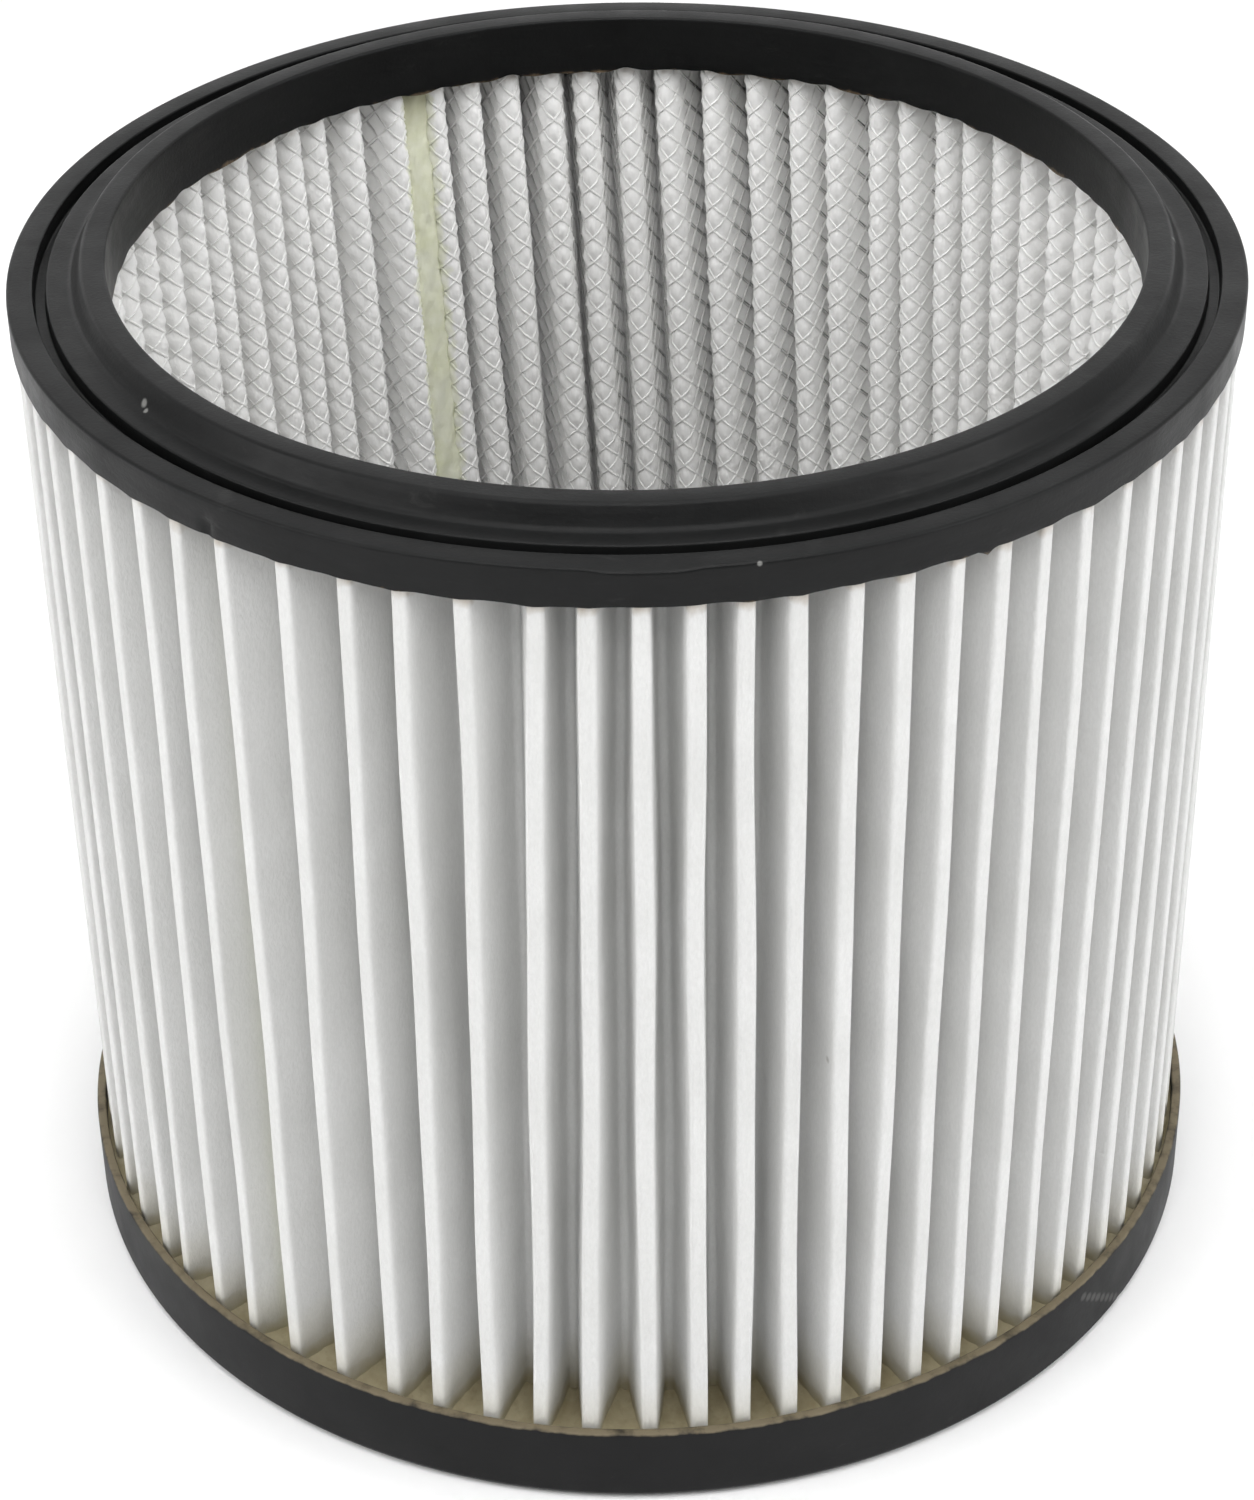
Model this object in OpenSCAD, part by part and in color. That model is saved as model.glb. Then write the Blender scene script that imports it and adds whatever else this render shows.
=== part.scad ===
// Pleated cartridge filter of a wet and dry vacuum cleaner.
// The origin is the centre of the underside of the bottom pan, +Z up along
// the cartridge's axis, millimetres. The front of the object faces -Y.

/* [Cartridge] */
// Overall height, from the underside of the pan to the top of the ring's lip
overall_h = 177; // [130:1:230]
// Outer diameter of the top ring
ring_d = 190; // [182:1:210]
// How much wider the bottom pan is than the top ring
pan_extra = 3; // [2.4:0.2:6]

/* [Top ring] */
// Height of the ring's outer wall
ring_h = 6.2; // [5.4:0.2:10]
// Height of the raised lip round the opening
lip_h = 3.4; // [2:0.2:6]
// Width of the outer land
outer_land_w = 4; // [3:0.1:4.5]
// Width of the groove between the two lands
groove_w = 2; // [1.6:0.1:3]
// Depth of the groove
groove_d = 2.4; // [1.6:0.1:2.6]
// Width of the inner land, between the groove and the lip
inner_land_w = 3.7; // [3.5:0.1:5]
// Width of the lip at its foot
lip_foot_w = 5.6; // [4.8:0.1:6]
// Width that the lip loses on its outer side between foot and top
lip_draft = 1.6; // [0.4:0.1:2]
// How far the folded pack stands in the ring's underside
ring_embed = 2.4; // [1.6:0.2:2.8]

/* [Pleats] */
// Number of pleats round the pack
pleat_n = 72; // [60:1:74]
// Thickness of the filter sheet
sheet_t = 0.8; // [0.5:0.05:0.9]
// Thickness of the net that is folded with the sheet, on its inside
net_t = 0.4; // [0.2:0.05:0.4]
// Bend radius of the outer folds, to the middle of the sheet
tip_r = 0.9; // [0.9:0.05:1.2]
// Bend radius of the inner folds, to the middle of the sheet
root_r = 1.2; // [0.8:0.05:1.8]
// How far the outer folds stand inside the ring's outer wall
tip_inset = 0.7; // [0.5:0.1:1.2]
// How far the inner folds stand behind the ring's bore
root_inset = 1.8; // [0.3:0.1:3]

/* [Bottom pan] */
// Height of the pan's outer wall
pan_h = 14.4; // [9:0.2:20]
// Thickness of the pan's walls
pan_t = 1.6; // [1.2:0.1:1.7]
// Thickness of the pan's floor
floor_t = 1.6; // [1.2:0.1:2.4]
// Clear width between the pan's inner wall and the inner folds
channel_gap = 3.6; // [2.5:0.1:5]
// How far the level of the potting lies below the rim of the pan
potting_drop = 3.6; // [1:0.1:4]
// Height of the folded pack above the pan's floor
pack_foot = 1.4; // [0.6:0.1:2]

/* [Seam] */
// Angle of the glued seam, from the front and towards the right
seam_at = 205; // [150:1:210]
// How far the glue stands behind the crests of the inner folds
seam_back = 0.9; // [0.5:0.1:1.6]
// Depth of the glue in the gap between two inner folds
seam_deep = 2.8; // [1.4:0.1:3.6]

/* [Hidden] */
$fn = 128;

ring_r = ring_d / 2;
z_land = overall_h - lip_h;             // top of both lands
z_under = z_land - ring_h;              // underside of the ring
groove_ro = ring_r - outer_land_w;
groove_ri = groove_ro - groove_w;
lip_ro = groove_ri - inner_land_w;
bore_r = lip_ro - lip_foot_w;
edge = 0.4;                             // small rounding of the ring's edges

pan_r = ring_r + pan_extra / 2;
pan_in = pan_r - pan_t;
pack_ro = ring_r - tip_inset;           // outer envelope of the folds
pack_ri = bore_r + root_inset;          // inner envelope, with the net
channel_ro = pack_ri - channel_gap;     // outer side of the pan's inner wall
channel_ri = channel_ro - pan_t + 0.2;
z_pot = pan_h - potting_drop;
z_pack0 = floor_t + pack_foot;
z_pack1 = z_under + ring_embed;

// The sheet is a zigzag of arcs and straight flanks. All its faces share the
// centres of the arcs, so an offset only changes the arcs' radii.
half = 180 / pleat_n;
tip_c = pack_ro - tip_r - sheet_t / 2;
root_c = pack_ri + root_r + sheet_t / 2 + net_t;
dx = tip_c - root_c * cos(half);
dy = root_c * sin(half);
dist = sqrt(dx * dx + dy * dy);
flank = 180 - atan2(dy, dx) - acos((tip_r + root_r) / dist);   // normal of the flank
root_turn = 180 - flank + half;
// an outer fold lies at the seam, so the gap inside it takes the glue
clock = seam_at - 90;

function polar(r, a) = [r * cos(a), r * sin(a)];
function fold(k, s) = let (a = clock + 2 * half * k, b = a + half) concat(
    [for (i = [0:3]) polar(tip_c, a) + polar(tip_r + s, a - flank + 2 * flank * i / 3)],
    [for (i = [0:3]) polar(root_c, b) + polar(root_r - s, b - root_turn - (360 - 2 * root_turn) * i / 3)]);
function face(s) = [for (k = [0:pleat_n - 1]) each fold(k, s)];

outer_face = sheet_t / 2;
inner_face = -sheet_t / 2;
net_face = -sheet_t / 2 - net_t;

module layer(a, b, z0, z1) {
    translate([0, 0, z0]) difference() {
        linear_extrude(z1 - z0) polygon(face(a));
        translate([0, 0, -1]) linear_extrude(z1 - z0 + 2) polygon(face(b));
    }
}

// Black moulded tray with an inner wall that keeps the potting under the pleats.
module bottom_pan() {
    color([0.07, 0.07, 0.07]) rotate_extrude() polygon([
        [0, 0], [pan_r - 1.2, 0], [pan_r - 0.35, 0.35], [pan_r, 1.2],
        [pan_r, pan_h - 0.4], [pan_r - 0.4, pan_h], [pan_in + 0.4, pan_h], [pan_in, pan_h - 0.4],
        [pan_in, floor_t], [channel_ro, floor_t], [channel_ro, z_pot - 0.3], [channel_ro - 0.3, z_pot],
        [channel_ri + 0.3, z_pot], [channel_ri, z_pot - 0.3], [channel_ri, floor_t], [0, floor_t]]);
}

// Tan potting compound that fills the pan's channel and holds the pack's foot.
module bottom_potting() {
    color([0.62, 0.57, 0.42]) difference() {
        rotate_extrude() translate([channel_ro, floor_t])
            square([pan_in - channel_ro, z_pot - 0.3 - floor_t]);
        layer(outer_face, net_face, z_pack0, z_pot + 5);
    }
}

// Off-white nonwoven sheet, pleated and joined into a tube.
module filter_medium() {
    color([0.86, 0.86, 0.84]) layer(outer_face, inner_face, z_pack0, z_pack1);
}

// White net folded together with the sheet; it lies on the sheet's inside.
module support_net() {
    color([0.92, 0.92, 0.91]) layer(inner_face, net_face, z_pack0, z_pack1);
}

// Yellowish glue that closes the pack into a tube, in the gap between two inner folds.
module seam_glue() {
    color([0.74, 0.76, 0.55]) intersection() {
        translate([0, 0, z_pot - 0.3]) linear_extrude(z_under - z_pot + 0.3) polygon(face(net_face));
        rotate([0, 0, seam_at - 90]) translate([pack_ri + seam_back, -root_c * sin(half), 0])
            cube([seam_deep, 2 * root_c * sin(half), overall_h]);
    }
}

// Black cast ring with a groove and a raised lip; the pack's top stands in it.
module top_ring() {
    color([0.06, 0.06, 0.06]) difference() {
        rotate_extrude() polygon([
            [bore_r, z_under], [ring_r, z_under], [ring_r, z_land - edge], [ring_r - edge, z_land],
            [groove_ro + 0.3, z_land], [groove_ro, z_land - 0.3], [groove_ro, z_land - groove_d],
            [groove_ri, z_land - groove_d], [groove_ri, z_land - 0.3], [groove_ri - 0.3, z_land],
            [lip_ro, z_land], [lip_ro - lip_draft, overall_h - edge], [lip_ro - lip_draft - edge, overall_h],
            [bore_r + edge, overall_h], [bore_r, overall_h - edge]]);
        layer(outer_face, net_face, z_under - 1, z_pack1);
    }
}

bottom_pan();
bottom_potting();
filter_medium();
support_net();
seam_glue();
top_ring();
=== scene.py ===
import bpy, math
import numpy as np
from mathutils import Matrix, Vector, kdtree


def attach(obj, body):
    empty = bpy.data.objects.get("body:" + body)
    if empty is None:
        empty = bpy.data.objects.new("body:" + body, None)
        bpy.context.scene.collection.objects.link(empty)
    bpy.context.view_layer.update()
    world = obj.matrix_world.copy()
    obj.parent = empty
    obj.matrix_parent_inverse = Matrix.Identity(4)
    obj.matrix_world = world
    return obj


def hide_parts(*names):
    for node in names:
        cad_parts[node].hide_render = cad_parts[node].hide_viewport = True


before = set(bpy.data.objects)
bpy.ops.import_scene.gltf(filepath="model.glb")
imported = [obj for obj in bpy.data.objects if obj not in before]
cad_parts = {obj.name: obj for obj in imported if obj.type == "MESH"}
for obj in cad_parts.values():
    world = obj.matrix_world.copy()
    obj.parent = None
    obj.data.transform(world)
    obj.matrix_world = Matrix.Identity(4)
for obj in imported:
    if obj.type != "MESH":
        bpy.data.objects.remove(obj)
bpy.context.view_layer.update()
rng = np.random.default_rng(72)
scene = bpy.context.scene

# ---------------------------------------------------------------- sizes, millimetres, as in the CAD frame
TIP_C, ROOT_C, TIP_R, ROOT_R = 93.0, 83.5, 0.9, 1.2
Z0, Z1 = 3.0, 169.8
Z_LAND, Z_UNDER, Z_TOP = 173.6, 167.4, 177.0
PITCH_Z, PITCH_S = 4.8, 5.0
N = 72


# ---------------------------------------------------------------- mesh helpers
def make_mesh(name, co, faces, attrs=None, smooth=True):
    me = bpy.data.meshes.new(name)
    co = np.asarray(co, float).reshape(-1, 3)
    groups = [np.asarray(f, np.int64) for f in faces if len(f)]
    vol = 0.0
    for f in groups:
        for k in range(1, f.shape[1] - 1):
            a, b, c = co[f[:, 0]], co[f[:, k]], co[f[:, k + 1]]
            vol += float(np.einsum("ij,ij->i", a, np.cross(b, c)).sum())
    if vol < 0:
        groups = [f[:, ::-1] for f in groups]
    loops = np.concatenate([f.ravel() for f in groups]).astype(np.int32)
    counts = np.concatenate([np.full(len(f), f.shape[1]) for f in groups])
    starts = np.concatenate([[0], np.cumsum(counts)[:-1]]).astype(np.int32)
    me.vertices.add(len(co))
    me.vertices.foreach_set("co", (co * 0.001).astype(np.float32).ravel())
    me.loops.add(len(loops))
    me.loops.foreach_set("vertex_index", loops)
    me.polygons.add(len(counts))
    me.polygons.foreach_set("loop_start", starts)
    me.update(calc_edges=True)
    me.validate()
    me.polygons.foreach_set("use_smooth", np.full(len(me.polygons), smooth))
    for key, values in (attrs or {}).items():
        at = me.attributes.new(key, "FLOAT", "POINT")
        at.data.foreach_set("value", np.asarray(values, np.float32).ravel())
    me.update()
    ob = bpy.data.objects.new(name, me)
    scene.collection.objects.link(ob)
    return ob


def ring_quads(rows, cols, base=0, wrap=True):
    r = np.arange(rows - 1)[:, None]
    c = np.arange(cols if wrap else cols - 1)[None, :]
    a = base + r * cols + c
    b = base + r * cols + (c + 1) % cols
    return np.stack([a, b, b + cols, a + cols], -1).reshape(-1, 4)


def zipper(ia, ta, ib, tb):
    """Triangles between two closed loops whose parameters rise from 0 to 1."""
    out = []
    na, nb = len(ia), len(ib)
    i = j = 0
    while i < na or j < nb:
        fa = ta[i + 1] if i + 1 < na else (1.0 if i < na else 9)
        fb = tb[j + 1] if j + 1 < nb else (1.0 if j < nb else 9)
        if j >= nb or (i < na and fa <= fb):
            out.append((ia[i % na], ia[(i + 1) % na], ib[j % nb]))
            i += 1
        else:
            out.append((ia[i % na], ib[(j + 1) % nb], ib[j % nb]))
            j += 1
    return np.array(out)


def smooth_noise(n, seed, waves, amp=1.0):
    """Closed, smooth noise round a circle."""
    g = np.random.default_rng(seed)
    a = np.linspace(0, 2 * np.pi, n, endpoint=False)
    y = np.zeros(n)
    for w in waves:
        y += g.normal() * np.sin(w * a + g.uniform(0, 6.28))
    return amp * y / math.sqrt(max(1, len(waves)) * 0.5)


# ---------------------------------------------------------------- where each fold stands
# even index: outer fold, odd index: inner fold; degrees from the front, to the right
OUT_HI = [-58.8, -53.4, -47.7, -42.7, -37.0, -30.7, -24.7, -19.6, -14.2, -8.4, -3.8, 0.7, 5.3, 9.6, 14.0, 18.8,
          23.6, 28.3, 33.0, 37.8, 42.8, 48.0, 52.8, 57.0, 61.5]
OUT_LO = [-58.2, -53.5, -47.8, -42.5, -36.7, -30.9, -25.1, -20.0, -14.9, -9.8, -4.9, 0.6, 5.3, 9.8, 14.2, 18.8,
          23.2, 27.8, 32.3, 37.3, 42.0, 46.7, 51.0, 55.3, 59.7]
IN_MID = [129.5, 134.3, 138.3, 143.3, 147.6, 153.1, 157.8, 163.1, 168.5, 173.9, 178.9, 183.8, 188.0, 193.2, 198.0,
          202.3, 207.8, 213.5, 218.5, 222.2, 226.0, 230.5, 235.0, 239.0]
knots = {}
lean_k = {}
for i, (h, l) in enumerate(zip(OUT_HI, OUT_LO)):
    lean_k[2 * i] = (h - l) / (140.35 - 28.25)
    knots[2 * i] = l + lean_k[2 * i] * (97.6 - 28.25)
for i, a in enumerate(IN_MID):
    k = 75 + 2 * i
    lean_k[k] = 0.022 + 0.007 * math.exp(-((a - 200) / 40) ** 2)
    knots[k] = a - lean_k[k] * (132 - 97.6)
knots[144] = knots[0] + 360
lean_k[144] = lean_k[0]
ks = sorted(knots)
A0 = np.interp(np.arange(144), ks, [knots[k] for k in ks])
LEAN = np.interp(np.arange(144), ks, [lean_k[k] for k in ks])
for j in range(144):
    if j not in knots:
        A0[j] += rng.normal() * (0.16 if j < 49 or 75 <= j <= 121 else 0.26)
        LEAN[j] += rng.normal() * 0.0012


def fold_angles(z, bulge=0.0):
    """Fold angles in degrees at the heights z, with a slow wander of each fold."""
    z = np.asarray(z, float)[..., None]
    j = np.arange(144)
    w = 0.10 * np.sin(z / 23.0 + j * 2.1) + 0.05 * np.sin(z / 9.5 + j * 4.7)
    return A0 + LEAN * (z - 97.6) + w * bulge


class Folds:
    """Centres and flank directions of all folds at one set of heights, as complex numbers."""

    def __init__(self, z):
        a = np.radians(fold_angles(z, 1.0))
        e = -1j * np.exp(1j * a)
        self.tip = e[..., 0::2] * TIP_C
        self.root = e[..., 1::2] * ROOT_C
        self.tip_e = e[..., 0::2]
        right = self.root - self.tip
        d = np.abs(right)
        self.nr = right / d * np.exp(-1j * np.arccos((TIP_R + ROOT_R) / d))      # right flank of tip k
        left_root = np.roll(self.root, 1, axis=-1)
        left = left_root - self.tip
        d = np.abs(left)
        self.nl = left / d * np.exp(1j * np.arccos((TIP_R + ROOT_R) / d))       # left flank of tip k


def spot_bump(x, c, w):
    return np.exp(-((x - c) / w) ** 2)


# ---------------------------------------------------------------- pleated sheet
def build_medium():
    # outer face
    zo = np.array([Z0, 9.6, 10.8, 12.2, 14.5, 19, 27, 36, 46, 56, 66, 76, 86, 96, 106, 116, 126, 136, 146, 155, 162, 166.2, Z1])
    F = Folds(zo)
    R = len(zo)
    e0 = F.nl * np.sqrt(F.nr / F.nl)
    zz = zo[:, None]
    k = np.arange(N)
    pts = []
    side = 0.05 * np.sin(zz / 11 + k * 1.7)
    stain = []
    prof = [(-1.30, 0.20), (-1.22, 0.88), (-1.03, 1.17), (-0.74, 1.29), (-0.36, 1.28), (0.0, 1.245), (0.36, 1.28), (0.74, 1.29), (1.03, 1.17), (1.22, 0.88), (1.30, 0.20)]
    wide = 1.0 + 0.06 * np.sin(zz / 31 + k * 3.3) + 0.04 * np.sin(k * 5.9)
    for t, r in prof:
        pts.append(F.tip + r * e0 + (t * wide + side * 0.5) * 1j * e0)
    stain += [np.zeros((R, N))] * 11
    # right flank, root, left flank of the next tip
    P0 = F.tip + 1.3 * F.nr
    P1 = F.root - 0.8 * F.nr
    nl1 = np.roll(F.nl, -1, axis=-1)
    tip1 = np.roll(F.tip, -1, axis=-1)
    Q0 = F.root - 0.8 * nl1
    Q1 = tip1 + 1.3 * nl1
    bow = 0.16 * np.sin(zz / 17 + k * 2.3) + 0.05 * np.sin(k * 7.1)
    for f in (0.36, 0.72):
        pts.append(P0 + f * (P1 - P0) + F.nr * bow * math.sin(math.pi * f))
        stain.append(np.where(k == 3, f, 0.0) * np.ones((R, 1)))
    ma, mb = -F.nr, -nl1
    for f in (0.06, 0.28, 0.5, 0.72, 0.94):
        pts.append(F.root + 0.8 * ma * np.exp(1j * f * np.angle(mb / ma)))
        stain.append(np.where(k == 3, 1.0, 0.0) * np.ones((R, 1)))
    bow2 = 0.16 * np.sin(zz / 19 + k * 1.3 + 1.0)
    for f in (0.28, 0.64):
        pts.append(Q0 + f * (Q1 - Q0) + nl1 * bow2 * math.sin(math.pi * f))
        stain.append(np.where(k == 3, 0.6, 0.0) * np.ones((R, 1)))
    nout = len(pts)
    P = np.stack(pts, -1).reshape(R, N * nout)
    st = np.stack(stain, -1).reshape(R, N * nout)
    co_o = np.stack([P.real, P.imag, np.repeat(zo[:, None], N * nout, 1)], -1).reshape(-1, 3)
    faces = [ring_quads(R, N * nout)]

    # inner face, whose vertices follow the net so that the cells bulge between its strands
    i_lo = np.arange(4, 24) * 2.4
    i_hi = np.arange(48, 140) * 1.2
    zn = np.concatenate([i_lo, i_hi])
    Mi = len(zn) + 2
    cols = [-5.8, -2.5, -1.25, 0.0, 1.25, 2.5, 5.8, 12.5]
    X = np.zeros((Mi, N, 8), complex)
    ZZ = np.zeros((Mi, N, 8))
    for c, s in enumerate(cols):
        ph = NET_PH if s < 12 else 0.5 * (NET_PH + np.roll(NET_PH, -1))
        zc = np.clip(zn[:, None] + ph[None, :], Z0 + 2, Z1 - 1)
        zc = np.vstack([np.full(N, Z0), zc, np.full(N, Z1)])
        ZZ[:, :, c] = zc
        s_eff = s - NET_DX if abs(s) < 3 else s + 0 * NET_DX
        X[:, :, c] = inner_point(zc, s_eff, 0.4, zc, s)
    co_i = np.stack([X.real, X.imag, ZZ], -1).reshape(-1, 3)
    base = len(co_o)
    q = ring_quads(Mi, N * 8, base)
    # split the cells along the strands
    rr = (q[:, 0] - base) // (N * 8)
    cc = (q[:, 0] - base) % 8
    col_q = {0: -4, 1: -2, 2: -1, 3: 0, 4: 1, 5: 2, 6: 4, 7: 10}
    a = np.vectorize(col_q.get)(cc)
    zi = np.concatenate([[0], np.round(zn / 1.2).astype(int), [0]])
    b = zi[rr]
    flip = (a + 1 + b) % 4 == 0
    t1 = np.where(flip[:, None], q[:, [0, 1, 3]], q[:, [0, 1, 2]])
    t2 = np.where(flip[:, None], q[:, [1, 2, 3]], q[:, [0, 2, 3]])
    faces_t = [t1, t2]
    # end caps, inside the potting and the ring
    to = (np.arange(N * nout) + 0.0) / (N * nout)
    per = np.array([0.62, 0.70, 0.74, 0.78, 0.82, 0.86, 0.94, 1.24])
    per_o = np.concatenate([np.linspace(-0.12, 0.12, 11), [0.25, 0.4], [0.44, 0.47, 0.5, 0.53, 0.56], [0.66, 0.8]])
    to = (k[:, None] + per_o[None, :] - per_o[0]).ravel() / N
    per_i = np.array([0.30, 0.40, 0.45, 0.5, 0.55, 0.6, 0.7, 1.0])
    ti = (k[:, None] + per_i[None, :]).ravel() / N
    order = np.arange(N * 8)
    shift = N * 8 - 1                      # start the inner loop at the fold that lies inside tip 0
    order = np.roll(order, 1)
    ti = np.roll(ti, 1)
    ti[0] = 0.0
    ti = np.clip(ti, 0, 1)
    for row_o, row_i in ((0, 0), (R - 1, Mi - 1)):
        ia = row_o * N * nout + np.arange(N * nout)
        ib = base + row_i * N * 8 + order
        z = zipper(list(ia), list(to), list(ib), list(ti))
        if row_o:
            z = z[:, ::-1]
        faces_t.append(z)
    # the outer grid runs the same way round as the inner one, so one of them is turned
    faces_t = [f[:, ::-1] if n < 2 else f for n, f in enumerate(faces_t)]
    net_s = np.tile(np.array(cols), Mi * N)
    inner_stain = np.zeros((Mi, N, 8))
    return make_mesh("filter_sheet", np.vstack([co_o, co_i]), faces + faces_t, {
        "stain": np.concatenate([st.ravel(), inner_stain.ravel()]),
        "inside": np.concatenate([np.zeros(len(co_o)), np.ones(len(co_i))]),
        "net_s": np.concatenate([np.zeros(len(co_o)), net_s])})


# the net's phase and sideways shift drift slowly from fold to fold
kk = np.arange(N)
NET_PH = 0.9 * np.sin(kk * 0.31 + 0.7) + 0.5 * np.sin(kk * 0.83 + 2.0) + rng.normal(0, 0.22, N)
NET_DX = 0.35 * np.sin(kk * 0.5 + 1.0) + rng.normal(0, 0.18, N)
NET_A = np.clip(0.66 + rng.normal(0, 0.07, N), 0.5, 0.8)


def inner_point(z, s, off, z_cell=None, s_cell=None, lift=0.0):
    """Points on the inside of the sheet: s runs along the sheet from the crest of inner fold k.
    off 0.4 is the sheet's own face; more stands further into the tube."""
    z = np.asarray(z, float)
    k = np.arange(N)
    out = np.zeros(z.shape, complex)
    a = np.radians(A0 + LEAN * (z[..., None] - 97.6) + (0.10 * np.sin(z[..., None] / 23.0 + np.arange(144) * 2.1) + 0.05 * np.sin(z[..., None] / 9.5 + np.arange(144) * 4.7)))
    # a has shape (rows, N, 144): keep the folds each column needs
    idx = k
    take = lambda j: np.take_along_axis(a, np.broadcast_to((j % 144)[None, :, None], a.shape[:2] + (1,)), 2)[..., 0]
    e = lambda j: -1j * np.exp(1j * take(j))
    root = e(2 * k + 1) * ROOT_C
    tl = e(2 * k) * TIP_C
    tr = e(2 * k + 2) * TIP_C
    d = np.abs(root - tl)
    n_a = (root - tl) / d * np.exp(-1j * np.arccos((TIP_R + ROOT_R) / d))
    d = np.abs(root - tr)
    n_b = (root - tr) / d * np.exp(1j * np.arccos((TIP_R + ROOT_R) / d))
    ma, mb = -n_a, -n_b
    ang = np.angle(mb / ma)
    rad = ROOT_R + off
    half = np.abs(ang) / 2 * (ROOT_R + 0.4)
    s = np.broadcast_to(np.asarray(s, float), z.shape)
    f = np.clip(0.5 + 0.5 * s / half, 0, 1)
    on_arc = root + rad * ma * np.exp(1j * f * ang)
    nrm = ma * np.exp(1j * f * ang)
    over = np.maximum(np.abs(s) - half, 0)
    wl = (tl + (TIP_R - off) * n_a) - (root - rad * n_a)
    wr = (tr + (TIP_R - off) * n_b) - (root - rad * n_b)
    w = np.where(s < 0, wl / np.abs(wl), wr / np.abs(wr))
    p = on_arc + w * over
    if s_cell is not None and s_cell > 12:
        # inside of the outer fold on the right
        p = tr + (TIP_R - off) * (tr / np.abs(tr))
        nrm = -tr / np.abs(tr)
        h = 0.0
    elif s_cell is not None and abs(s_cell) < 3:
        u = (z_cell - NET_PH[None, :]) / PITCH_Z
        v = s_cell / PITCH_S
        h = NET_A[None, :] * np.abs(np.sin(np.pi * (u + v)) * np.sin(np.pi * (u - v)))
        h = h * np.clip((z - 9) / 3, 0, 1) * np.clip((168.5 - z) / 2, 0, 1)
    else:
        h = 0.0
    return p + nrm * (h + lift)


# ---------------------------------------------------------------- net of crossing strands, folded with the sheet
def build_net():
    zl, zh = 9.4, 168.8
    s_cols = [-2.5, -1.25, 0.0, 1.25, 2.5, 12.5]
    C = N * 6
    S = np.zeros(C)
    ph = np.zeros(C)
    for c in range(C):
        k, m = divmod(c, 6)
        S[c] = 25.0 * k + s_cols[m]
        ph[c] = NET_PH[k] if m < 5 else 0.5 * (NET_PH[k] + NET_PH[(k + 1) % N])
    width = 0.40
    verts, quads, ends, family = [], [], [], []
    start = 30 * 6
    base = 0
    zgrid = np.linspace(zl - 12, zh + 12, 161)
    surf = np.zeros((161, C), complex)
    apex = np.zeros((161, C), complex)
    for m, s in enumerate(s_cols):
        zz = np.repeat(zgrid[:, None], N, 1)
        se = s - NET_DX if m < 5 else 12.5
        surf[:, m::6] = inner_point(zz, se, 0.4, zz, 13 if m == 5 else 5, lift=-0.10)
        apex[:, m::6] = inner_point(zz, se, 0.4, zz, 13 if m == 5 else 5, lift=0.40 if m < 5 else 0.30)

    def at(tab, c, z):
        f = np.clip((z - zgrid[0]) / (zgrid[1] - zgrid[0]), 0, 159.999)
        i = f.astype(int)
        f = f - i
        return tab[i, c] * (1 - f) + tab[i + 1, c] * f

    for fam in (1, -1):
        n = np.arange(-400, 440)
        for c0 in range(C):
            c1 = (c0 + 1) % C
            S0 = S[c0]
            S1 = S[c1] + (25.0 * N if c1 == 0 else 0.0)
            za = ph[c0] + n * PITCH_Z + fam * S0 * PITCH_Z / PITCH_S
            zb = ph[c1] + n * PITCH_Z + fam * S1 * PITCH_Z / PITCH_S
            ok = (np.maximum(za, zb) > zl) & (np.minimum(za, zb) < zh)
            za, zb = za[ok], zb[ok]
            fa = np.clip((np.clip(za, zl, zh) - za) / (zb - za + 1e-9), 0, 1)
            fb = np.clip((np.clip(zb, zl, zh) - za) / (zb - za + 1e-9), 0, 1)
            ca, cb = np.full(len(za), c0), np.full(len(za), c1)
            sa, sb = at(surf, ca, za), at(surf, cb, zb)
            aa, ab = at(apex, ca, za), at(apex, cb, zb)
            ring = []
            for f in (fa, fb):
                z = za + f * (zb - za)
                ps = sa + f * (sb - sa)
                pa = aa + f * (ab - aa)
                ring += [np.stack([ps.real, ps.imag, z - width], -1), np.stack([pa.real, pa.imag, z], -1), np.stack([ps.real, ps.imag, z + width], -1)]
            v = np.stack(ring, 1)                   # (n, 6, 3)
            verts.append(v.reshape(-1, 3))
            b = base + np.arange(len(v))[:, None] * 6
            for q in ([0, 1, 4, 3], [1, 2, 5, 4], [2, 0, 3, 5]):
                quads.append(b + np.array(q)[None, :])
            ends.append(b[fa > 0] + np.array([0, 2, 1])[None, :])
            ends.append(b[fb < 1] + np.array([3, 4, 5])[None, :])
            family.append(np.full(len(v) * 6, fam))
            base += len(v) * 6
    co = np.vstack(verts)
    q = np.vstack(quads)
    # weld the rings that neighbouring pieces of a strand share
    key = np.column_stack([np.round(co * 2000).astype(np.int64), np.concatenate(family)])
    _, first, inv = np.unique(key, axis=0, return_index=True, return_inverse=True)
    inv = inv.ravel()
    return make_mesh("folded_net", co[first], [inv[q], inv[np.vstack(ends)]], {})


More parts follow.
